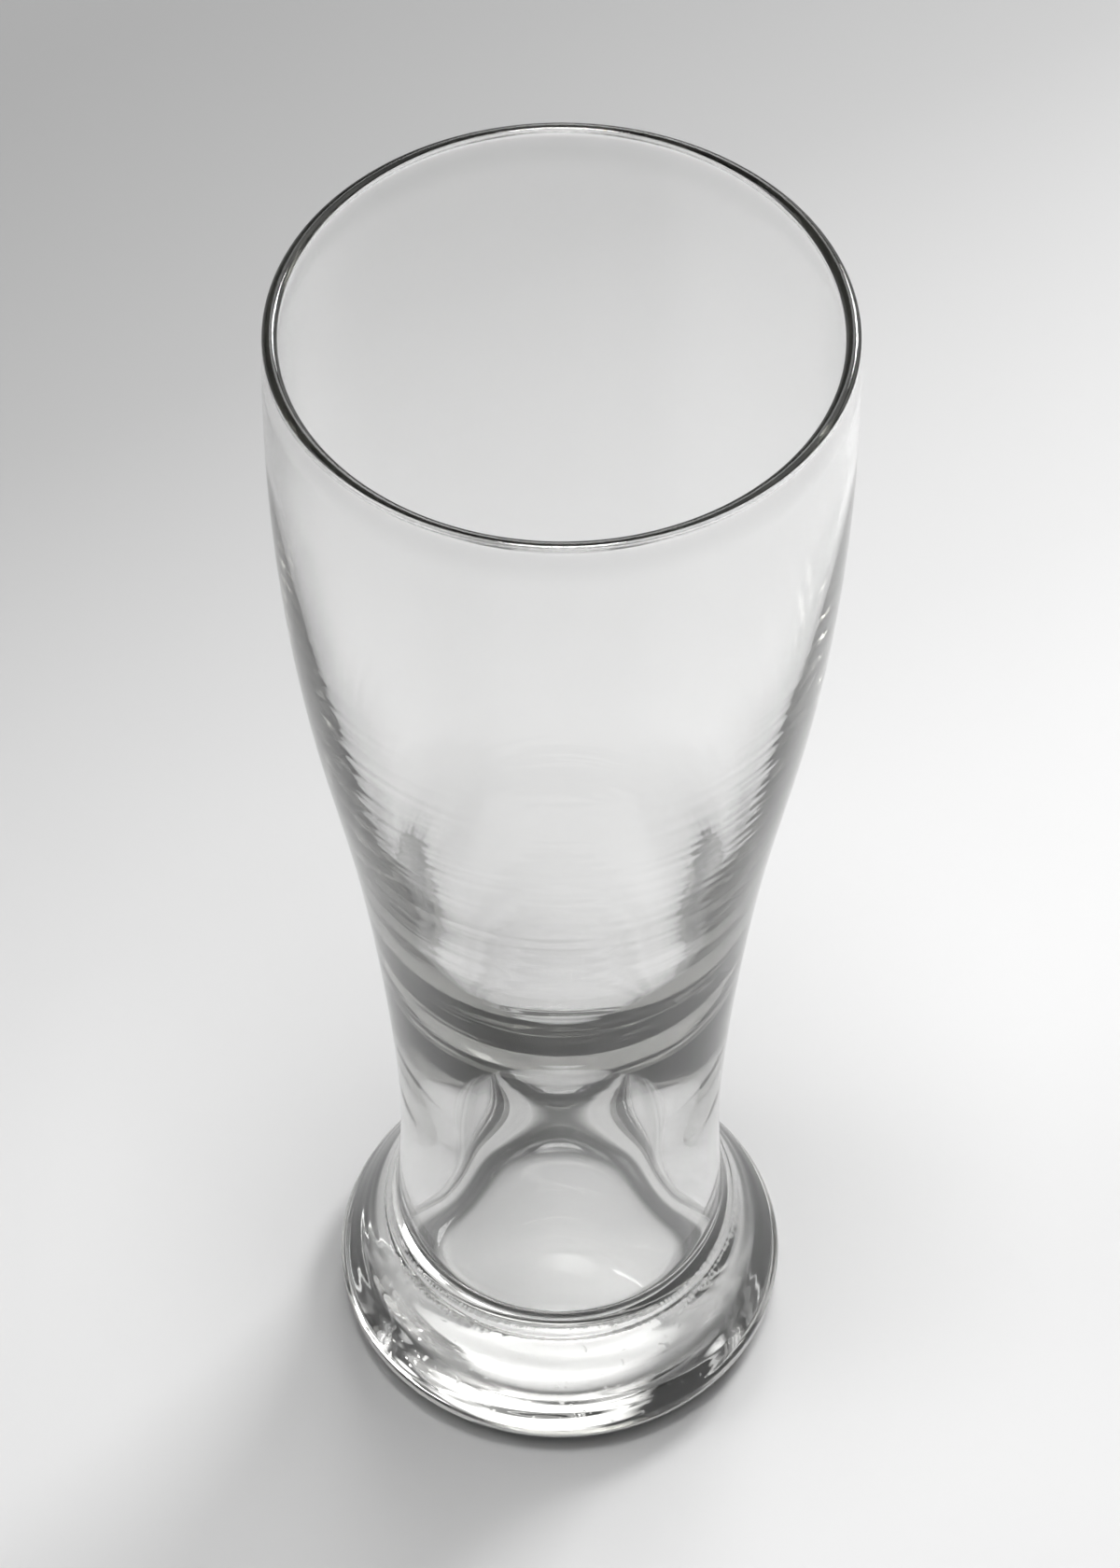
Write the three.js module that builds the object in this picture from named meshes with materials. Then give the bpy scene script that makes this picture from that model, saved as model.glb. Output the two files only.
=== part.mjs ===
import * as THREE from 'three';

// Clear beer glass, in millimetres, +Z up.
// The origin is the centre of the standing ring, on the table.
// Two gathers of glass meet at the crease: a pressed foot, whose top closes
// the bottom of the well, and a blown bowl that stands on it.

// Overall sizes

const GLASS_HEIGHT = 232.0;
const RIM_RADIUS = 41.5;
const RIM_BEAD_RADIUS = 1.12;

const FOOT_RADIUS = 37.9;
const FOOT_WIDEST_HEIGHT = 7.8;
const STANDING_RING_OUTER_RADIUS = 30.0;
const STANDING_RING_INNER_RADIUS = 24.0;
const PUSH_UP_HEIGHT = 1.6;

const CREASE_HEIGHT = 23.5;
const CREASE_RADIUS = 29.6;

const WELL_FLOOR_HEIGHT = 17.0;
const WELL_CORNER_DEPTH = 5.0;

// Outside of the bowl: height above the table, radius.
// The waist is narrowest at 50 and the wall swells to its widest near 210.
const OUTER_WALL_STATIONS = [
  [29.0, 27.6],
  [40.0, 26.75],
  [50.0, 26.45],
  [60.0, 26.66],
  [77.0, 27.72],
  [100.0, 29.85],
  [125.0, 33.1],
  [150.0, 37.29],
  [175.0, 40.35],
  [200.0, 41.83],
  [222.0, 41.85],
];

// Inside of the bowl: height above the table, radius.
// The glass is 8 mm thick in the waist. It thins fast through the inner
// shoulder from 85 to 115, then slowly up to 200.
const INNER_WALL_STATIONS = [
  [20.0, 21.8],
  [30.0, 19.9],
  [40.0, 18.6],
  [52.0, 18.3],
  [66.0, 19.1],
  [80.0, 20.4],
  [93.0, 22.4],
  [105.0, 25.2],
  [112.5, 27.05],
  [116.0, 27.8],
  [125.0, 29.45],
  [144.5, 33.4],
  [165.0, 36.8],
  [178.0, 38.4],
  [200.0, 40.0],
  [215.0, 40.2],
  [225.0, 39.9],
];

// How far each curve pulls along its end directions

const FOOT_LOWER_EDGE_PULL = 0.58;
const FOOT_SHOULDER_RISE = 2.0;
const CREASE_FOOT_SPREAD = 2.5;
const CREASE_FOOT_DROP = 6.2;
const CREASE_BOWL_INSET = 0.8;
const CREASE_BOWL_RISE = 0.5;
const CREASE_FILLET_SIZE = 2.2;
const LIP_BLEND_HEIGHT = 7.0;
const LIP_INNER_PULL = 1.6;
const LIP_WALL_PULL = 3.0;
const WELL_CORNER_ROUNDNESS = 0.56;

// How finely each curve is divided

const TURN_STEPS = 48;
const OUTER_WALL_STEPS = 22;
const INNER_WALL_STEPS = 32;
const PUSH_UP_STEPS = 6;
const FOOT_EDGE_STEPS = 5;
const FOOT_SHOULDER_STEPS = 10;
const CREASE_STEPS = 4;
const BEAD_STEPS = 6;
const LIP_STEPS = 4;
const WELL_CORNER_STEPS = 5;

/** Natural cubic spline through [height, radius] stations: radius at a height. */
function wallCurve(stations) {
  const last = stations.length - 1;
  const spans = [];
  for (let i = 0; i < last; i += 1) {
    spans.push(stations[i + 1][0] - stations[i][0]);
  }
  const diagonal = new Array(last + 1).fill(1);
  const upper = new Array(last + 1).fill(0);
  const bend = new Array(last + 1).fill(0);
  for (let i = 1; i < last; i += 1) {
    const riseBefore = (stations[i][1] - stations[i - 1][1]) / spans[i - 1];
    const riseAfter = (stations[i + 1][1] - stations[i][1]) / spans[i];
    diagonal[i] = 2 * (spans[i - 1] + spans[i]) - spans[i - 1] * upper[i - 1];
    upper[i] = spans[i] / diagonal[i];
    bend[i] = (6 * (riseAfter - riseBefore) - spans[i - 1] * bend[i - 1]) / diagonal[i];
  }
  bend[last] = 0;
  for (let i = last - 1; i > 0; i -= 1) {
    bend[i] -= upper[i] * bend[i + 1];
  }
  return (height) => {
    let i = 0;
    while (i < last - 1 && height > stations[i + 1][0]) {
      i += 1;
    }
    const span = spans[i];
    const along = height - stations[i][0];
    const rise = (stations[i + 1][1] - stations[i][1]) / span;
    const slope = rise - (span * (2 * bend[i] + bend[i + 1])) / 6;
    const curl = (bend[i + 1] - bend[i]) / (6 * span);
    return stations[i][1] + along * slope + (along ** 2 * bend[i]) / 2 + along ** 3 * curl;
  };
}

/** Radius gained per millimetre of height on a wall. */
function wallSlope(wall, height) {
  const step = 0.1;
  return (wall(height + step) - wall(height)) / step;
}

/** Points of a wall after its first height, as [radius, height]. */
function wallPoints(wall, fromHeight, toHeight, steps) {
  const points = [];
  for (let i = 1; i <= steps; i += 1) {
    const height = fromHeight + ((toHeight - fromHeight) * i) / steps;
    points.push([wall(height), height]);
  }
  return points;
}

/** Points of a cubic curve after its first one, as [radius, height]. */
function curvePoints(start, startPull, endPull, end, steps) {
  const curve = new THREE.CubicBezierCurve(
    new THREE.Vector2(...start),
    new THREE.Vector2(...startPull),
    new THREE.Vector2(...endPull),
    new THREE.Vector2(...end),
  );
  return curve.getPoints(steps).slice(1).map((point) => [point.x, point.y]);
}

/** Turns a [radius, height] outline around the Z axis. */
function turned(outline) {
  const points = outline.map(([radius, height]) => new THREE.Vector2(radius, height));
  const geometry = new THREE.LatheGeometry(points, TURN_STEPS);
  geometry.rotateX(Math.PI / 2);
  return geometry;
}

const BEAD_HEIGHT = GLASS_HEIGHT - RIM_BEAD_RADIUS;
const BEAD_CENTRE_RADIUS = RIM_RADIUS - RIM_BEAD_RADIUS;

const outerWall = wallCurve([...OUTER_WALL_STATIONS, [BEAD_HEIGHT, RIM_RADIUS]]);
const innerWall = wallCurve(INNER_WALL_STATIONS);

// Foot: a thick pressed disc with a rounded edge and a nearly conical
// shoulder that runs straight up to the crease. It stands on a flat ring,
// its underside pushes up slightly inside the ring, and its top is dished
// to close the bottom of the well.

function footOutline() {
  const outline = [];
  for (let i = 0; i < PUSH_UP_STEPS; i += 1) {
    const share = i / PUSH_UP_STEPS;
    const height = PUSH_UP_HEIGHT * (0.5 + 0.5 * Math.cos(Math.PI * share));
    outline.push([STANDING_RING_INNER_RADIUS * share, height]);
  }
  outline.push([STANDING_RING_INNER_RADIUS, 0]);
  outline.push([STANDING_RING_OUTER_RADIUS, 0]);

  const edgeWidth = FOOT_RADIUS - STANDING_RING_OUTER_RADIUS;
  outline.push(...curvePoints(
    [STANDING_RING_OUTER_RADIUS, 0],
    [STANDING_RING_OUTER_RADIUS + FOOT_LOWER_EDGE_PULL * edgeWidth, 0],
    [FOOT_RADIUS, FOOT_WIDEST_HEIGHT * (1 - FOOT_LOWER_EDGE_PULL)],
    [FOOT_RADIUS, FOOT_WIDEST_HEIGHT],
    FOOT_EDGE_STEPS,
  ));
  outline.push(...curvePoints(
    [FOOT_RADIUS, FOOT_WIDEST_HEIGHT],
    [FOOT_RADIUS, FOOT_WIDEST_HEIGHT + FOOT_SHOULDER_RISE],
    [CREASE_RADIUS + CREASE_FOOT_SPREAD, CREASE_HEIGHT - CREASE_FOOT_DROP],
    [CREASE_RADIUS, CREASE_HEIGHT],
    FOOT_SHOULDER_STEPS,
  ));

  const wellRadius = innerWall(CREASE_HEIGHT);
  const wellDepth = CREASE_HEIGHT - WELL_FLOOR_HEIGHT;
  outline.push([wellRadius, CREASE_HEIGHT]);
  outline.push(...curvePoints(
    [wellRadius, CREASE_HEIGHT],
    [wellRadius, CREASE_HEIGHT - wellDepth * WELL_CORNER_ROUNDNESS],
    [wellRadius - WELL_CORNER_DEPTH * (1 - WELL_CORNER_ROUNDNESS), WELL_FLOOR_HEIGHT],
    [wellRadius - WELL_CORNER_DEPTH, WELL_FLOOR_HEIGHT],
    WELL_CORNER_STEPS,
  ));
  outline.push([0, WELL_FLOOR_HEIGHT]);
  return outline;
}

// Bowl: one blown wall, open at the top. It is thick around the well, turns
// thin at the inner shoulder, swells, and ends in a fire-polished bead.

function bowlOutline() {
  const start = [CREASE_RADIUS, CREASE_HEIGHT];
  const wallStart = OUTER_WALL_STATIONS[0][0];
  const filletPull = wallSlope(outerWall, wallStart) * CREASE_FILLET_SIZE;
  const outline = [start];
  outline.push(...curvePoints(
    start,
    [CREASE_RADIUS - CREASE_BOWL_INSET, CREASE_HEIGHT + CREASE_BOWL_RISE],
    [outerWall(wallStart) - filletPull, wallStart - CREASE_FILLET_SIZE],
    [outerWall(wallStart), wallStart],
    CREASE_STEPS,
  ));
  outline.push(...wallPoints(outerWall, wallStart, BEAD_HEIGHT, OUTER_WALL_STEPS));

  for (let i = 1; i <= BEAD_STEPS; i += 1) {
    const angle = (Math.PI * i) / BEAD_STEPS;
    const radius = BEAD_CENTRE_RADIUS + RIM_BEAD_RADIUS * Math.cos(angle);
    outline.push([radius, BEAD_HEIGHT + RIM_BEAD_RADIUS * Math.sin(angle)]);
  }

  const lipEnd = BEAD_HEIGHT - LIP_BLEND_HEIGHT;
  const lipPull = wallSlope(innerWall, lipEnd) * LIP_WALL_PULL;
  const beadInnerRadius = BEAD_CENTRE_RADIUS - RIM_BEAD_RADIUS;
  outline.push(...curvePoints(
    [beadInnerRadius, BEAD_HEIGHT],
    [beadInnerRadius, BEAD_HEIGHT - LIP_INNER_PULL],
    [innerWall(lipEnd) + lipPull, lipEnd + LIP_WALL_PULL],
    [innerWall(lipEnd), lipEnd],
    LIP_STEPS,
  ));
  outline.push(...wallPoints(innerWall, lipEnd, CREASE_HEIGHT, INNER_WALL_STEPS));
  outline.push(start);
  return outline;
}

// Clear colourless glass, a light neutral grey against the pale table

const clearGlass = {
  color: 0xe9ecec,
  roughness: 0.03,
  metalness: 0.0,
  transparent: true,
  opacity: 0.35,
};

const foot = new THREE.Mesh(turned(footOutline()), new THREE.MeshStandardMaterial(clearGlass));
foot.name = 'foot';

const bowl = new THREE.Mesh(turned(bowlOutline()), new THREE.MeshStandardMaterial(clearGlass));
bowl.name = 'bowl';

const beerGlass = new THREE.Group();
beerGlass.add(foot, bowl);

export default beerGlass;
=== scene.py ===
import math

import bpy
from mathutils import Matrix, Vector


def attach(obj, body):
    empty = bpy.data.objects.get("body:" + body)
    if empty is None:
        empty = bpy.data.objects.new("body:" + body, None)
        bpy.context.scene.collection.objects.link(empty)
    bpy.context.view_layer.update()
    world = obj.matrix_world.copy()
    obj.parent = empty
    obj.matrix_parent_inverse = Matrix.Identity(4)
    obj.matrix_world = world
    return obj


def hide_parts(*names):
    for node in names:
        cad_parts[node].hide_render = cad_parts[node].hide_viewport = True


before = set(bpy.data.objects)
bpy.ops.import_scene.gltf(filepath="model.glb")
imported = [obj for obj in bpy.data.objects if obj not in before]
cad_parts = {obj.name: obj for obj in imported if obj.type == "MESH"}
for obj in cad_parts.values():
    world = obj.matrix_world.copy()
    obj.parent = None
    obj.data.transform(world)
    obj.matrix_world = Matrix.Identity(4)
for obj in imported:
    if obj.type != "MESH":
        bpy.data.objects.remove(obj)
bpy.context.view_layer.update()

MM = 0.001

# Camera

# The focal length is in pixels of the photograph, whose longer side is its height.
PHOTO_HEIGHT = 1680
FOCAL_PIXELS = 5400.0
SENSOR_MM = 36.0
CAMERA_PLACE = (-0.000108, -0.48968, 0.72988)
CAMERA_DOWN_DEGREES = 50.66
CAMERA_ROLL_DEGREES = 0.109
CAMERA_NEAREST = 0.01
CAMERA_FURTHEST = 100.0


def make_camera():
    """The camera in front of the glass and above it, looking down at it."""
    data = bpy.data.cameras.new("camera")
    data.sensor_width = SENSOR_MM
    data.lens = FOCAL_PIXELS / PHOTO_HEIGHT * SENSOR_MM
    data.clip_start = CAMERA_NEAREST
    data.clip_end = CAMERA_FURTHEST
    camera = bpy.data.objects.new("camera", data)
    bpy.context.scene.collection.objects.link(camera)
    tilt = Matrix.Rotation(math.radians(90.0 - CAMERA_DOWN_DEGREES), 4, "X")
    roll = Matrix.Rotation(math.radians(CAMERA_ROLL_DEGREES), 4, "Z")
    camera.location = CAMERA_PLACE
    camera.rotation_euler = (tilt @ roll).to_euler()
    bpy.context.scene.camera = camera


# Outline of the glass, in millimetres

# The same values as the part's solids are made from.
GLASS_HEIGHT = 232.0
RIM_RADIUS = 41.5
RIM_BEAD_RADIUS = 1.12
FOOT_RADIUS = 37.9
FOOT_WIDEST_HEIGHT = 7.8
STANDING_RING_OUTER_RADIUS = 30.0
STANDING_RING_INNER_RADIUS = 24.0
PUSH_UP_HEIGHT = 1.6
CREASE_HEIGHT = 23.5
CREASE_RADIUS = 29.6
WELL_FLOOR_HEIGHT = 17.0
WELL_CORNER_DEPTH = 5.0

# Height above the table, and the radius there
OUTER_WALL_STATIONS = (
    (29.0, 27.6),
    (40.0, 26.75),
    (50.0, 26.45),
    (60.0, 26.66),
    (77.0, 27.72),
    (100.0, 29.85),
    (125.0, 33.1),
    (150.0, 37.29),
    (175.0, 40.35),
    (200.0, 41.83),
    (222.0, 41.85),
)
INNER_WALL_STATIONS = (
    (20.0, 21.8),
    (30.0, 19.9),
    (40.0, 18.6),
    (52.0, 18.3),
    (66.0, 19.1),
    (80.0, 20.4),
    (93.0, 22.4),
    (105.0, 25.2),
    (112.5, 27.05),
    (116.0, 27.8),
    (125.0, 29.45),
    (144.5, 33.4),
    (165.0, 36.8),
    (178.0, 38.4),
    (200.0, 40.0),
    (215.0, 40.2),
    (225.0, 39.9),
)

# How far each curve pulls along its end directions

FOOT_LOWER_EDGE_PULL = 0.58
FOOT_SHOULDER_RISE = 2.0
CREASE_FOOT_SPREAD = 2.5
CREASE_FOOT_DROP = 6.2
CREASE_BOWL_INSET = 0.8
CREASE_BOWL_RISE = 0.5
CREASE_FILLET_SIZE = 2.2
LIP_BLEND_HEIGHT = 7.0
LIP_INNER_PULL = 1.6
LIP_WALL_PULL = 3.0
WELL_CORNER_ROUNDNESS = 0.56

# How finely the glass is divided

TURN_STEPS = 240
OUTER_WALL_STEPS = 120
INNER_WALL_STEPS = 120
PUSH_UP_STEPS = 16
STANDING_RING_STEPS = 3
FOOT_EDGE_STEPS = 22
FOOT_SHOULDER_STEPS = 36
CREASE_STEPS = 14
BEAD_STEPS = 20
LIP_STEPS = 12
WELL_CORNER_STEPS = 18
WELL_FLOOR_STEPS = 8
SLOPE_STEP = 0.1


# Curves of the outline


def wall_curve(stations):
    """Natural cubic spline through (height, radius) stations: radius at a height."""
    last = len(stations) - 1
    spans = [stations[i + 1][0] - stations[i][0] for i in range(last)]
    diagonal = [1.0] * (last + 1)
    upper = [0.0] * (last + 1)
    bend = [0.0] * (last + 1)
    for i in range(1, last):
        rise_before = (stations[i][1] - stations[i - 1][1]) / spans[i - 1]
        rise_after = (stations[i + 1][1] - stations[i][1]) / spans[i]
        diagonal[i] = 2.0 * (spans[i - 1] + spans[i]) - spans[i - 1] * upper[i - 1]
        upper[i] = spans[i] / diagonal[i]
        bend[i] = (6.0 * (rise_after - rise_before) - spans[i - 1] * bend[i - 1]) / diagonal[i]
    bend[last] = 0.0
    for i in range(last - 1, 0, -1):
        bend[i] -= upper[i] * bend[i + 1]

    def radius_at(height):
        i = 0
        while i < last - 1 and height > stations[i + 1][0]:
            i += 1
        span = spans[i]
        along = height - stations[i][0]
        rise = (stations[i + 1][1] - stations[i][1]) / span
        slope = rise - span * (2.0 * bend[i] + bend[i + 1]) / 6.0
        curl = (bend[i + 1] - bend[i]) / (6.0 * span)
        return stations[i][1] + along * slope + along**2 * bend[i] / 2.0 + along**3 * curl

    return radius_at


def wall_slope(wall, height):
    """Radius gained per millimetre of height on a wall."""
    return (wall(height + SLOPE_STEP) - wall(height)) / SLOPE_STEP


def wall_points(wall, from_height, to_height, steps):
    """Points of a wall after its first height, as (radius, height)."""
    points = []
    for i in range(1, steps + 1):
        height = from_height + (to_height - from_height) * i / steps
        points.append((wall(height), height))
    return points


def curve_points(start, start_pull, end_pull, end, steps):
    """Points of a cubic curve after its first one, as (radius, height)."""
    points = []
    corners = (start, start_pull, end_pull, end)
    for i in range(1, steps + 1):
        t = i / steps
        shares = ((1 - t) ** 3, 3 * (1 - t) ** 2 * t, 3 * (1 - t) * t**2, t**3)
        radius = sum(share * corner[0] for share, corner in zip(shares, corners))
        height = sum(share * corner[1] for share, corner in zip(shares, corners))
        points.append((radius, height))
    return points


def straight_points(start, end, steps):
    """Points of a straight line after its first one, as (radius, height)."""
    points = []
    for i in range(1, steps + 1):
        share = i / steps
        radius = start[0] + (end[0] - start[0]) * share
        height = start[1] + (end[1] - start[1]) * share
        points.append((radius, height))
    return points


# Outline, from the middle of the underside round to the middle of the well's floor


def foot_outline():
    """The push-up, the standing ring, the rounded edge and the shoulder up to the crease."""
    outline = []
    for i in range(PUSH_UP_STEPS + 1):
        share = i / PUSH_UP_STEPS
        height = PUSH_UP_HEIGHT * (0.5 + 0.5 * math.cos(math.pi * share))
        outline.append((STANDING_RING_INNER_RADIUS * share, height))
    ring_inner = (STANDING_RING_INNER_RADIUS, 0.0)
    ring_outer = (STANDING_RING_OUTER_RADIUS, 0.0)
    outline += straight_points(ring_inner, ring_outer, STANDING_RING_STEPS)
    edge_pull = FOOT_LOWER_EDGE_PULL * (FOOT_RADIUS - STANDING_RING_OUTER_RADIUS)
    widest = (FOOT_RADIUS, FOOT_WIDEST_HEIGHT)
    outline += curve_points(
        ring_outer,
        (STANDING_RING_OUTER_RADIUS + edge_pull, 0.0),
        (FOOT_RADIUS, FOOT_WIDEST_HEIGHT * (1.0 - FOOT_LOWER_EDGE_PULL)),
        widest,
        FOOT_EDGE_STEPS,
    )
    outline += curve_points(
        widest,
        (FOOT_RADIUS, FOOT_WIDEST_HEIGHT + FOOT_SHOULDER_RISE),
        (CREASE_RADIUS + CREASE_FOOT_SPREAD, CREASE_HEIGHT - CREASE_FOOT_DROP),
        (CREASE_RADIUS, CREASE_HEIGHT),
        FOOT_SHOULDER_STEPS,
    )
    return outline


def bowl_outline(outer_wall, inner_wall):
    """The outer wall above the crease, the rim bead and the inner wall down to the crease."""
    bead_height = GLASS_HEIGHT - RIM_BEAD_RADIUS
    bead_centre = RIM_RADIUS - RIM_BEAD_RADIUS
    wall_start = OUTER_WALL_STATIONS[0][0]
    fillet_pull = wall_slope(outer_wall, wall_start) * CREASE_FILLET_SIZE
    outline = curve_points(
        (CREASE_RADIUS, CREASE_HEIGHT),
        (CREASE_RADIUS - CREASE_BOWL_INSET, CREASE_HEIGHT + CREASE_BOWL_RISE),
        (outer_wall(wall_start) - fillet_pull, wall_start - CREASE_FILLET_SIZE),
        (outer_wall(wall_start), wall_start),
        CREASE_STEPS,
    )
    outline += wall_points(outer_wall, wall_start, bead_height, OUTER_WALL_STEPS)
    for i in range(1, BEAD_STEPS + 1):
        angle = math.pi * i / BEAD_STEPS
        radius = bead_centre + RIM_BEAD_RADIUS * math.cos(angle)
        outline.append((radius, bead_height + RIM_BEAD_RADIUS * math.sin(angle)))
    lip_end = bead_height - LIP_BLEND_HEIGHT
    lip_pull = wall_slope(inner_wall, lip_end) * LIP_WALL_PULL
    bead_inner = bead_centre - RIM_BEAD_RADIUS
    outline += curve_points(
        (bead_inner, bead_height),
        (bead_inner, bead_height - LIP_INNER_PULL),
        (inner_wall(lip_end) + lip_pull, lip_end + LIP_WALL_PULL),
        (inner_wall(lip_end), lip_end),
        LIP_STEPS,
    )
    outline += wall_points(inner_wall, lip_end, CREASE_HEIGHT, INNER_WALL_STEPS)
    return outline


def well_outline(inner_wall):
    """The rounded corner and the flat floor of the well, below the crease."""
    well_radius = inner_wall(CREASE_HEIGHT)
    well_depth = CREASE_HEIGHT - WELL_FLOOR_HEIGHT
    floor_edge = (well_radius - WELL_CORNER_DEPTH, WELL_FLOOR_HEIGHT)
    outline = curve_points(
        (well_radius, CREASE_HEIGHT),
        (well_radius, CREASE_HEIGHT - well_depth * WELL_CORNER_ROUNDNESS),
        (well_radius - WELL_CORNER_DEPTH * (1.0 - WELL_CORNER_ROUNDNESS), WELL_FLOOR_HEIGHT),
        floor_edge,
        WELL_CORNER_STEPS,
    )
    outline += straight_points(floor_edge, (0.0, WELL_FLOOR_HEIGHT), WELL_FLOOR_STEPS)
    return outline


def glass_outline():
    """The whole outline of foot and bowl as one piece of glass."""
    bead_height = GLASS_HEIGHT - RIM_BEAD_RADIUS
    outer_wall = wall_curve(OUTER_WALL_STATIONS + ((bead_height, RIM_RADIUS),))
    inner_wall = wall_curve(INNER_WALL_STATIONS)
    return foot_outline() + bowl_outline(outer_wall, inner_wall) + well_outline(inner_wall)


# Node helpers

NOISE_DETAIL = 1.0


def new_material(name):
    """A material with nodes, and its tree."""
    material = bpy.data.materials.new(name)
    material.use_nodes = True
    return material, material.node_tree


def add_node(tree, kind, **settings):
    """A new node with its settings."""
    node = tree.nodes.new(kind)
    for name, value in settings.items():
        setattr(node, name, value)
    return node


def math_node(tree, operation, first, second=None):
    """Result of one step of arithmetic on numbers or sockets."""
    node = add_node(tree, "ShaderNodeMath", operation=operation)
    for slot, value in enumerate((first, second)):
        if value is None:
            continue
        if isinstance(value, (int, float)):
            node.inputs[slot].default_value = value
        else:
            tree.links.new(value, node.inputs[slot])
    return node.outputs[0]


def product(tree, first, *others):
    """All the numbers or sockets multiplied together."""
    result = first
    for other in others:
        result = math_node(tree, "MULTIPLY", result, other)
    return result


def fade(tree, value, low, high):
    """0 below low, 1 above high and smooth between; low above high turns it round."""
    turned_round = low > high
    node = add_node(tree, "ShaderNodeMapRange", interpolation_type="SMOOTHSTEP")
    node.inputs["From Min"].default_value = min(low, high)
    node.inputs["From Max"].default_value = max(low, high)
    node.inputs["To Min"].default_value = 1.0 if turned_round else 0.0
    node.inputs["To Max"].default_value = 0.0 if turned_round else 1.0
    tree.links.new(value, node.inputs["Value"])
    return node.outputs[0]


def stretched_noise(tree, position, scale, seed):
    """Noise with a scale of its own along each axis, from 0 to 1."""
    stretch = add_node(tree, "ShaderNodeVectorMath", operation="MULTIPLY")
    stretch.inputs[1].default_value = scale
    tree.links.new(position, stretch.inputs[0])
    noise = add_node(tree, "ShaderNodeTexNoise", noise_dimensions="4D")
    noise.inputs["Scale"].default_value = 1.0
    noise.inputs["Detail"].default_value = NOISE_DETAIL
    noise.inputs["W"].default_value = seed
    tree.links.new(stretch.outputs[0], noise.inputs["Vector"])
    return noise.outputs["Fac"]


def height_and_radius(tree, position):
    """Height above the table and distance from the axis."""
    parts = add_node(tree, "ShaderNodeSeparateXYZ")
    tree.links.new(position, parts.inputs[0])
    flat_place = add_node(tree, "ShaderNodeVectorMath", operation="MULTIPLY")
    flat_place.inputs[1].default_value = (1.0, 1.0, 0.0)
    tree.links.new(position, flat_place.inputs[0])
    from_axis = add_node(tree, "ShaderNodeVectorMath", operation="LENGTH")
    tree.links.new(flat_place.outputs[0], from_axis.inputs[0])
    return parts.outputs["Z"], from_axis.outputs["Value"]


def tone_ramp(tree, value, tones, interpolation):
    """A grey tone that follows a value, through (value, tone) pairs."""
    start = tones[0][0]
    end = tones[-1][0]
    share = add_node(tree, "ShaderNodeMapRange")
    share.inputs["From Min"].default_value = start
    share.inputs["From Max"].default_value = end
    ramp = add_node(tree, "ShaderNodeValToRGB")
    ramp.color_ramp.interpolation = interpolation
    stops = ramp.color_ramp.elements
    stops.remove(stops[-1])
    for number, (place, tone) in enumerate(tones):
        where = (place - start) / (end - start)
        stop = stops[0] if number == 0 else stops.new(where)
        stop.position = where
        stop.color = (tone, tone, tone, 1.0)
    tree.links.new(value, share.inputs["Value"])
    tree.links.new(share.outputs[0], ramp.inputs[0])
    return ramp.outputs["Color"]


# Turning the outline: a Geometry Nodes tree

# The tree bends a grid into the turned outline and welds it where it closes. Waves then
# sink the surface. They never raise it, and fade out at the standing ring and the rim,
# so that the glass keeps its overall size. Sizes are in metres, scales per metre.
WELD_DISTANCE = 0.000001
WALL_WAVE_DEPTH = 0.00004
WALL_WAVE_SCALE = (22.0, 22.0, 34.0)
FOOT_WAVE_DEPTH = 0.001
FOOT_WAVE_FLOOR = 0.32
FOOT_WAVE_SCALE = (14.0, 14.0, 240.0)
WAVE_SEED = 7.0

# Heights, then radii, that the waves fade over
STANDING_RING_FADE = (0.003, 0.008)
RIM_FADE = (0.224, 0.212)
FOOT_WAVE_TOP = (0.0245, 0.0225)
FOOT_WAVE_INSIDE = (0.025, 0.028)


def turned_place(tree, source, position, point_count):
    """Place of each grid point: a point of the outline, turned round the axis."""
    index = add_node(tree, "GeometryNodeInputIndex").outputs[0]
    turn_number = math_node(tree, "FLOOR", math_node(tree, "DIVIDE", index, float(point_count)))
    point_number = math_node(tree, "MODULO", index, float(point_count))
    turn_share = math_node(tree, "DIVIDE", turn_number, source.outputs["Turn Steps"])
    angle = product(tree, turn_share, math.tau)

    link = tree.links.new
    sample = add_node(tree, "GeometryNodeSampleIndex", data_type="FLOAT_VECTOR", domain="POINT")
    link(source.outputs["Outline"], sample.inputs["Geometry"])
    link(position, sample.inputs["Value"])
    link(point_number, sample.inputs["Index"])
    on_outline = add_node(tree, "ShaderNodeSeparateXYZ")
    link(sample.outputs[0], on_outline.inputs[0])
    radius = on_outline.outputs["X"]
    turned = add_node(tree, "ShaderNodeCombineXYZ")
    link(product(tree, radius, math_node(tree, "COSINE", angle)), turned.inputs["X"])
    link(product(tree, radius, math_node(tree, "SINE", angle)), turned.inputs["Y"])
    link(on_outline.outputs["Z"], turned.inputs["Z"])
    return turned.outputs[0]


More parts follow.
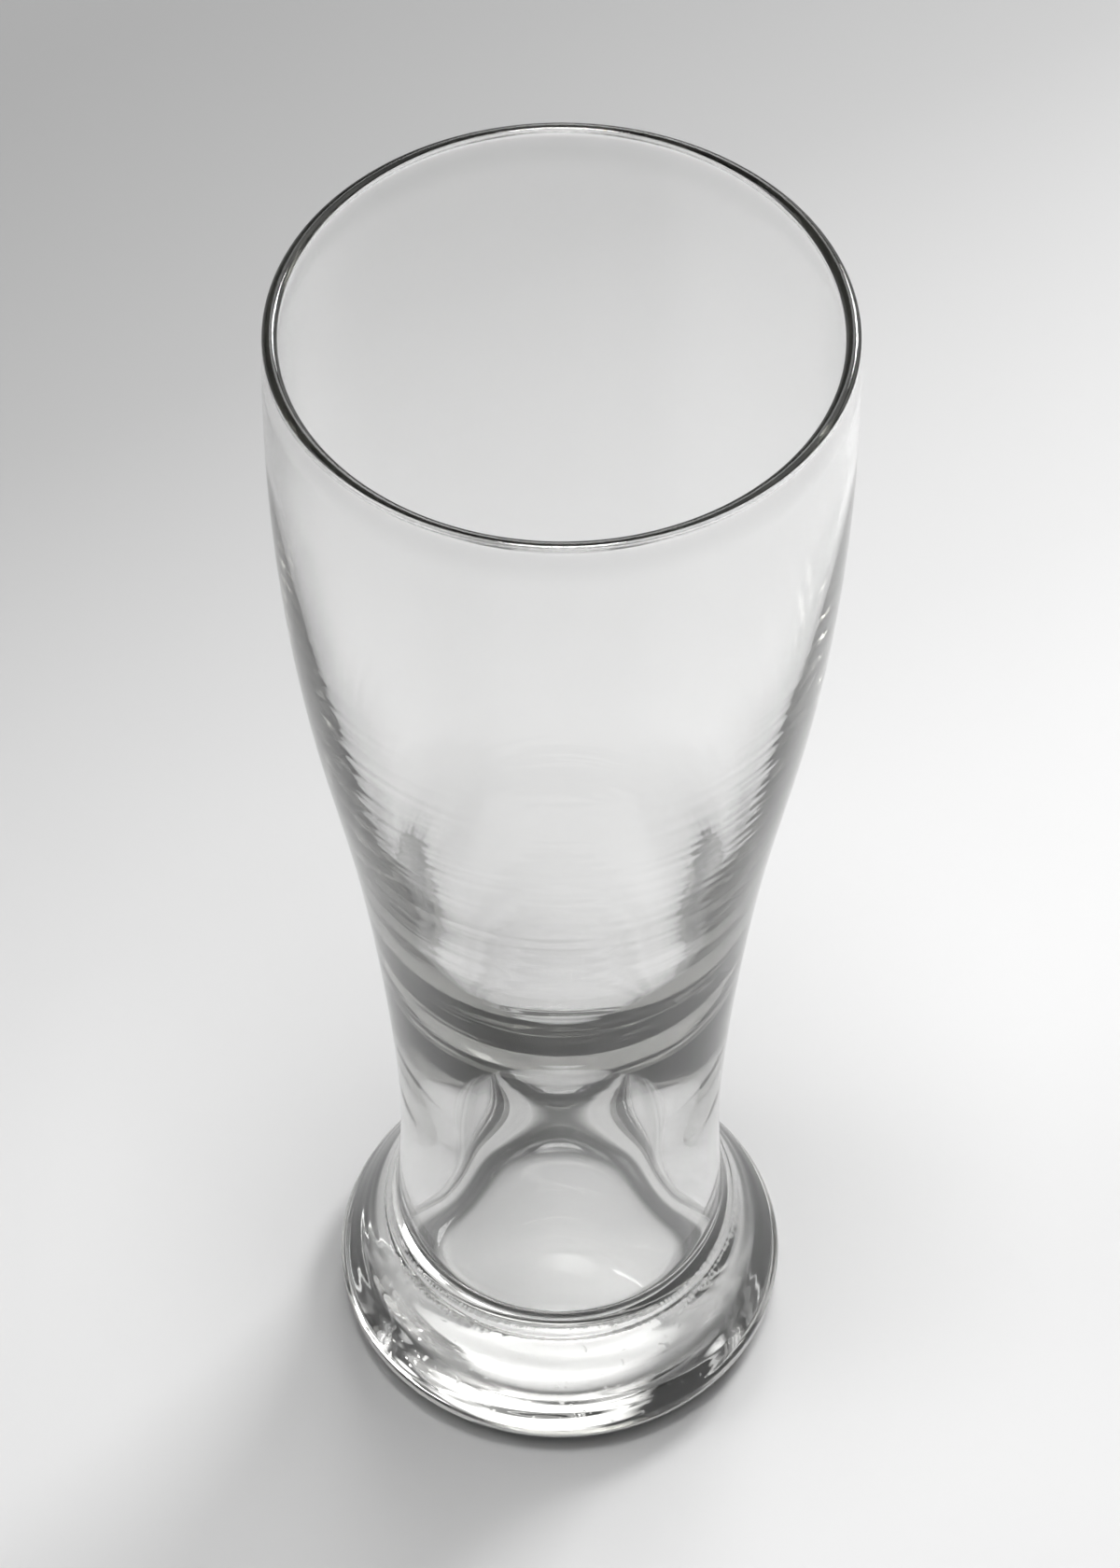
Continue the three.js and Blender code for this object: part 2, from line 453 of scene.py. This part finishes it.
def wave_sink(tree, source, position):
    """How far each point moves along its normal: zero or less, which is inwards."""
    height, radius = height_and_radius(tree, position)
    wall_noise = stretched_noise(tree, position, WALL_WAVE_SCALE, WAVE_SEED)
    wall_depth = product(tree, wall_noise, source.outputs["Wall Wave Depth"])

    foot_noise = stretched_noise(tree, position, FOOT_WAVE_SCALE, WAVE_SEED)
    foot_dips = math_node(tree, "SUBTRACT", foot_noise, FOOT_WAVE_FLOOR)
    foot_dips = math_node(tree, "MAXIMUM", foot_dips, 0.0)
    foot_depth = product(tree, foot_dips, source.outputs["Foot Wave Depth"])
    below_crease = fade(tree, height, *FOOT_WAVE_TOP)
    outside_well = fade(tree, radius, *FOOT_WAVE_INSIDE)
    foot_depth = product(tree, foot_depth, product(tree, below_crease, outside_well))

    depth = math_node(tree, "ADD", wall_depth, foot_depth)
    above_ring = fade(tree, height, *STANDING_RING_FADE)
    below_rim = fade(tree, height, *RIM_FADE)
    return product(tree, depth, product(tree, above_ring, below_rim), -1.0)


def turning_tree(glass_material, point_count):
    """Turns the outline's points round the axis, then sinks faint waves into the surface."""
    tree = bpy.data.node_groups.new("turn_outline", "GeometryNodeTree")
    face = tree.interface
    face.new_socket("Outline", in_out="INPUT", socket_type="NodeSocketGeometry")
    face.new_socket("Turn Steps", in_out="INPUT", socket_type="NodeSocketInt")
    face.new_socket("Wall Wave Depth", in_out="INPUT", socket_type="NodeSocketFloat")
    face.new_socket("Foot Wave Depth", in_out="INPUT", socket_type="NodeSocketFloat")
    face.new_socket("Glass", in_out="OUTPUT", socket_type="NodeSocketGeometry")
    source = add_node(tree, "NodeGroupInput")
    result = add_node(tree, "NodeGroupOutput")
    position = add_node(tree, "GeometryNodeInputPosition").outputs[0]
    link = tree.links.new

    grid = add_node(tree, "GeometryNodeMeshGrid")
    grid.inputs["Vertices Y"].default_value = point_count
    link(math_node(tree, "ADD", source.outputs["Turn Steps"], 1.0), grid.inputs["Vertices X"])
    turn = add_node(tree, "GeometryNodeSetPosition")
    link(turned_place(tree, source, position, point_count), turn.inputs["Position"])
    weld = add_node(tree, "GeometryNodeMergeByDistance")
    weld.inputs["Distance"].default_value = WELD_DISTANCE

    push = add_node(tree, "ShaderNodeVectorMath", operation="SCALE")
    link(add_node(tree, "GeometryNodeInputNormal").outputs[0], push.inputs[0])
    link(wave_sink(tree, source, position), push.inputs["Scale"])
    wave = add_node(tree, "GeometryNodeSetPosition")
    link(push.outputs[0], wave.inputs["Offset"])

    smooth = add_node(tree, "GeometryNodeSetShadeSmooth")
    realize = add_node(tree, "GeometryNodeRealizeInstances")
    finish = add_node(tree, "GeometryNodeSetMaterial")
    finish.inputs["Material"].default_value = glass_material
    geometry = grid.outputs["Mesh"]
    for step in (turn, weld, wave, smooth, realize, finish):
        link(geometry, step.inputs["Geometry"])
        geometry = step.outputs[0]
    link(geometry, result.inputs["Glass"])
    return tree


def socket_key(tree, name):
    """The identifier that sets a tree's named input on a modifier."""
    for item in tree.interface.items_tree:
        if item.name == name and item.in_out == "INPUT":
            return item.identifier
    raise KeyError(name)


def make_glass(glass_material):
    """The whole glass as one plain closed mesh."""
    outline = [(radius * MM, 0.0, height * MM) for radius, height in glass_outline()]
    mesh = bpy.data.meshes.new("outline")
    mesh.from_pydata(outline, [], [])
    maker = bpy.data.objects.new("outline", mesh)
    bpy.context.scene.collection.objects.link(maker)
    tree = turning_tree(glass_material, len(outline))
    modifier = maker.modifiers.new("turn", "NODES")
    modifier.node_group = tree
    modifier[socket_key(tree, "Turn Steps")] = TURN_STEPS
    modifier[socket_key(tree, "Wall Wave Depth")] = WALL_WAVE_DEPTH
    modifier[socket_key(tree, "Foot Wave Depth")] = FOOT_WAVE_DEPTH
    depsgraph = bpy.context.evaluated_depsgraph_get()
    turned = bpy.data.meshes.new_from_object(maker.evaluated_get(depsgraph))
    bpy.data.objects.remove(maker)
    turned.name = "glass"
    glass = bpy.data.objects.new("glass", turned)
    bpy.context.scene.collection.objects.link(glass)
    return glass


# Clear glass

# Light that runs a long way inside the glass is slowly soaked up, which makes the edges
# dark while the front stays clear.
GLASS_BENDING = 1.53
GLASS_SURFACE_COLOUR = (1.0, 1.0, 1.0, 1.0)
GLASS_BODY_DENSITY = 7.0
GLASS_BODY_COLOUR = (0.05, 0.05, 0.0, 1.0)

# Ripples in the wall above the waist: scale per metre, depth and heights in metres
RIPPLE_SCALE = (35.0, 35.0, 370.0)
RIPPLE_DEPTH = 0.00002
RIPPLE_START = (0.085, 0.1)
RIPPLE_END = (0.2, 0.15)
RIPPLE_SEED = 3.0

# Tool marks along the crease, on the outside only
TOOL_MARK_SCALE = (900.0, 900.0, 250.0)
TOOL_MARK_DEPTH = 0.00006
TOOL_MARK_START = (0.0205, 0.0225)
TOOL_MARK_END = (0.0255, 0.0238)
TOOL_MARK_INSIDE = (0.0265, 0.028)
TOOL_MARK_SEED = 5.0

# Scuffs low on the foot
SCUFF_SCALE = (700.0, 700.0, 1500.0)
SCUFF_LEVEL = (0.62, 0.7)
SCUFF_END = (0.011, 0.004)
SCUFF_ROUGHNESS = 0.25
SCUFF_SEED = 13.0


def ripple_height(tree, position, height):
    """Height of the ripples, in metres."""
    noise = stretched_noise(tree, position, RIPPLE_SCALE, RIPPLE_SEED)
    zone = product(tree, fade(tree, height, *RIPPLE_START), fade(tree, height, *RIPPLE_END))
    return product(tree, noise, zone, RIPPLE_DEPTH)


def tool_mark_height(tree, position, height, radius):
    """Height of the tool marks, in metres."""
    noise = stretched_noise(tree, position, TOOL_MARK_SCALE, TOOL_MARK_SEED)
    zone = product(
        tree,
        fade(tree, height, *TOOL_MARK_START),
        fade(tree, height, *TOOL_MARK_END),
        fade(tree, radius, *TOOL_MARK_INSIDE),
    )
    return product(tree, noise, zone, TOOL_MARK_DEPTH)


def scuff_roughness(tree, position, height):
    """Roughness of the scuffs, 0 between them and above them."""
    noise = stretched_noise(tree, position, SCUFF_SCALE, SCUFF_SEED)
    scuffs = fade(tree, noise, *SCUFF_LEVEL)
    return product(tree, scuffs, fade(tree, height, *SCUFF_END), SCUFF_ROUGHNESS)


def make_clear_glass():
    """Clear glass with ripples, tool marks and scuffs in its surface."""
    material, tree = new_material("clear_glass")
    link = tree.links.new
    shader = tree.nodes["Principled BSDF"]
    shader.inputs["Base Color"].default_value = GLASS_SURFACE_COLOUR
    shader.inputs["Transmission Weight"].default_value = 1.0
    shader.inputs["IOR"].default_value = GLASS_BENDING

    position = add_node(tree, "ShaderNodeTexCoord").outputs["Object"]
    height, radius = height_and_radius(tree, position)
    ripples = ripple_height(tree, position, height)
    tool_marks = tool_mark_height(tree, position, height, radius)
    bump = add_node(tree, "ShaderNodeBump")
    bump.inputs["Distance"].default_value = 1.0
    link(math_node(tree, "ADD", ripples, tool_marks), bump.inputs["Height"])
    link(bump.outputs["Normal"], shader.inputs["Normal"])
    link(scuff_roughness(tree, position, height), shader.inputs["Roughness"])

    inside = add_node(tree, "ShaderNodeVolumeAbsorption")
    inside.inputs["Color"].default_value = GLASS_BODY_COLOUR
    inside.inputs["Density"].default_value = GLASS_BODY_DENSITY
    link(inside.outputs[0], tree.nodes["Material Output"].inputs["Volume"])
    return material


# Room: pale walls near the table's height, dark above them

ROOM_TONE = 0.45

# How steeply a direction looks up, from -1 to 1, and the tone there
ROOM_TONES = (
    (-0.2, ROOM_TONE),
    (0.1, ROOM_TONE),
    (0.15, 0.35),
    (0.24, 0.04),
    (1.0, 0.02),
)


def make_room():
    """The world's tone at every height."""
    world = bpy.data.worlds.new("room")
    world.use_nodes = True
    tree = world.node_tree
    direction = add_node(tree, "ShaderNodeTexCoord").outputs["Generated"]
    parts = add_node(tree, "ShaderNodeSeparateXYZ")
    tree.links.new(direction, parts.inputs[0])
    tone = tone_ramp(tree, parts.outputs["Z"], ROOM_TONES, "B_SPLINE")
    tree.links.new(tone, tree.nodes["Background"].inputs["Color"])
    bpy.context.scene.world = world


# Table: pale, with painted shade falling off to the back left

# It lies a hair below the standing ring, so that the two flat faces don't coincide.
TABLE_RADIUS = 3.0
TABLE_SIDES = 128
TABLE_DROP = 0.00005

# Metres towards the back left, and the tone there: painted shade, darker where the light falls
# off
PAINTED_FALLOFF_DIRECTION = (-0.5, 0.866, 0.0)
TABLE_PAINTED_FALLOFF_TONES = (
    (-0.6, 0.82),
    (0.0, 0.82),
    (0.06, 0.76),
    (0.1, 0.69),
    (0.16, 0.59),
    (0.22, 0.45),
    (0.32, 0.34),
    (1.0, 0.32),
)

# Metres from the glass's axis, and the factor on the tone there, which paints in light and
# shade. Light gets in under the push-up through the well, but hardly under the standing ring
# and the edge of the foot: painted light and painted shade.
PAINTED_UNDER_FOOT_TONES = (
    (0.0, 1.2),
    (0.0215, 1.2),
    (0.0255, 0.28),
    (0.034, 0.22),
    (0.0375, 1.0),
    (0.06, 1.0),
)

# A faint painted light under the push-up, an emission in the table, stands for the light that
# the bowl gathers there.
PAINTED_WELL_LIGHT = 0.24
PAINTED_WELL_LIGHT_EDGE = (0.0235, 0.0195)

# Far away the table fades into the tone of the room's walls.
FAR_TABLE = (0.4, 0.9)


def table_tone(tree, place, from_axis):
    """The table's tone: painted shade falling to the back left times the painted light and
    shade round the foot.
    """
    along = add_node(tree, "ShaderNodeVectorMath", operation="DOT_PRODUCT")
    along.inputs[1].default_value = PAINTED_FALLOFF_DIRECTION
    tree.links.new(place, along.inputs[0])
    # Painted shade: the tone falls off to the back left as the light would.
    painted_falloff = tone_ramp(tree, along.outputs["Value"], TABLE_PAINTED_FALLOFF_TONES, "B_SPLINE")
    # Painted light under the push-up, painted shade under the standing ring and the foot's
    # edge.
    painted_under_foot = tone_ramp(tree, from_axis, PAINTED_UNDER_FOOT_TONES, "EASE")
    tone = add_node(tree, "ShaderNodeVectorMath", operation="MULTIPLY")
    tree.links.new(painted_falloff, tone.inputs[0])
    tree.links.new(painted_under_foot, tone.inputs[1])
    return tone.outputs[0]


def make_table_material():
    """Matt table with painted light glowing under the push-up, fading into the walls far away.
    """
    material, tree = new_material("pale_table")
    tree.nodes.clear()
    link = tree.links.new
    place = add_node(tree, "ShaderNodeTexCoord").outputs["Object"]
    distance = add_node(tree, "ShaderNodeVectorMath", operation="LENGTH")
    link(place, distance.inputs[0])
    from_axis = distance.outputs["Value"]

    matt = add_node(tree, "ShaderNodeBsdfDiffuse")
    link(table_tone(tree, place, from_axis), matt.inputs["Color"])
    far = add_node(tree, "ShaderNodeEmission")
    far.inputs["Color"].default_value = (ROOM_TONE, ROOM_TONE, ROOM_TONE, 1.0)
    blend = add_node(tree, "ShaderNodeMixShader")
    link(fade(tree, from_axis, *FAR_TABLE), blend.inputs["Fac"])
    link(matt.outputs[0], blend.inputs[1])
    link(far.outputs[0], blend.inputs[2])

    # Painted light: the table glows under the push-up as if lit through the well.
    painted_well_light = add_node(tree, "ShaderNodeEmission")
    painted_well_light_share = fade(tree, from_axis, *PAINTED_WELL_LIGHT_EDGE)
    link(product(tree, painted_well_light_share, PAINTED_WELL_LIGHT), painted_well_light.inputs["Strength"])
    both = add_node(tree, "ShaderNodeAddShader")
    link(blend.outputs[0], both.inputs[0])
    link(painted_well_light.outputs[0], both.inputs[1])
    output = add_node(tree, "ShaderNodeOutputMaterial")
    link(both.outputs[0], output.inputs["Surface"])
    return material


def make_table():
    """A wide round table that isn't part of the object."""
    bpy.ops.mesh.primitive_circle_add(
        vertices=TABLE_SIDES, radius=TABLE_RADIUS, fill_type="NGON"
    )
    table = bpy.context.object
    table.name = "table"
    table.location = (0.0, 0.0, -TABLE_DROP)
    table.data.materials.append(make_table_material())


# Lights: soft boxes on a dome round the glass, brightest at the back right

# Azimuth runs clockwise from the back, seen from above, and elevation up from the table.
# A soft box with a fading edge is brightest in its middle.
DOME_RADIUS = 1.2
SOFT_BOXES = (
    # name, azimuth, elevation, width, height, watts, fading edge
    ("key", 37.0, 40.0, 0.32, 0.32, 7.2, False),
    ("key_fill", 50.0, 56.0, 1.3, 0.9, 4.5, True),
    ("back_box", 5.0, 40.0, 0.5, 0.8, 7.0, True),
    ("back_strip", 45.0, 24.0, 1.1, 0.4, 1.4, False),
    ("right_strip", 105.0, 24.0, 1.1, 0.4, 0.9, False),
    ("left_box", -97.0, 42.0, 0.6, 0.6, 4.0, True),
    ("overhead", 180.0, 86.0, 0.3, 0.3, 5.2, False),
)

# A share of the width times the rest of it is a quarter in the middle, so this makes 1.
MIDDLE_GAIN = 4.0


def fade_edges(data):
    """Lets a soft box fade from its middle to its edges."""
    data.use_nodes = True
    tree = data.node_tree
    panel = add_node(tree, "ShaderNodeNewGeometry")
    across = add_node(tree, "ShaderNodeSeparateXYZ")
    tree.links.new(panel.outputs["Parametric"], across.inputs[0])
    shares = []
    for side in ("X", "Y"):
        share = across.outputs[side]
        rest = math_node(tree, "SUBTRACT", 1.0, share)
        shares.append(product(tree, share, rest, MIDDLE_GAIN))
    tree.links.new(product(tree, *shares), tree.nodes["Emission"].inputs["Strength"])


def make_soft_box(name, azimuth, elevation, width, height, watts, fading):
    """An area light on the dome that faces the foot of the glass and isn't seen itself."""
    data = bpy.data.lights.new(name, "AREA")
    data.shape = "RECTANGLE"
    data.size = width
    data.size_y = height
    data.energy = watts
    if fading:
        fade_edges(data)
    lamp = bpy.data.objects.new(name, data)
    bpy.context.scene.collection.objects.link(lamp)
    around = math.radians(azimuth)
    up = math.radians(elevation)
    place = Vector((
        DOME_RADIUS * math.cos(up) * math.sin(around),
        DOME_RADIUS * math.cos(up) * math.cos(around),
        DOME_RADIUS * math.sin(up),
    ))
    lamp.location = place
    lamp.rotation_euler = (-place).to_track_quat("-Z", "Y").to_euler()
    lamp.visible_camera = False


# Setting out

LIGHT_BOUNCES = 72
SEE_THROUGH_BOUNCES = 16

make_camera()
glass = make_glass(make_clear_glass())
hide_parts("foot", "bowl")
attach(glass, "root")
make_table()
make_room()
for box in SOFT_BOXES:
    make_soft_box(*box)

scene = bpy.context.scene
scene.view_settings.view_transform = "Standard"
scene.cycles.max_bounces = LIGHT_BOUNCES
scene.cycles.transmission_bounces = LIGHT_BOUNCES
scene.cycles.glossy_bounces = LIGHT_BOUNCES
scene.cycles.transparent_max_bounces = SEE_THROUGH_BOUNCES
